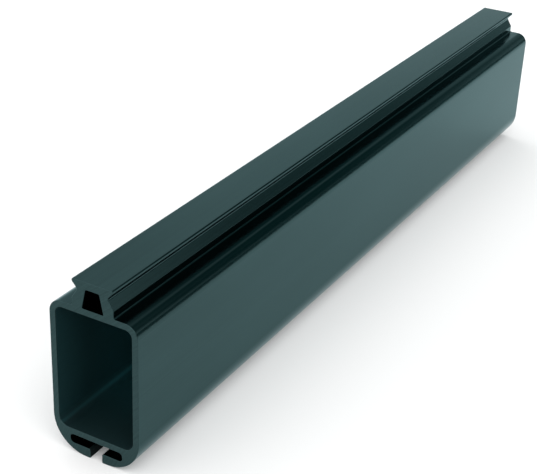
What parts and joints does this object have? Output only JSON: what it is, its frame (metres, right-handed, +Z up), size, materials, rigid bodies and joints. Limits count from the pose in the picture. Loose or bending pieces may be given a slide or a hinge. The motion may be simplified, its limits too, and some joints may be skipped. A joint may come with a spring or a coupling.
{
  "type": "sail track section",
  "caption": "Straight length of tall-beam sail track: a one-piece anodised aluminium extrusion with a hollow box beam, a bolt slot in its base and a grooved head for a traveller car.",
  "frame": {"origin": "middle of the base land on the floor, at mid length and mid width", "axes": "+Z up from the base to the track head, +Y along the stock away from the end that shows in the picture, +X across the width"},
  "size_m": [0.0592, 0.6, 0.1156],
  "materials": {
    "anodised_aluminium": "dark teal-grey hard anodised, satin, with sawn ends"
  },
  "bodies": {
    "root": {"beam_track": "anodised_aluminium"}
  },
  "joints": []
}
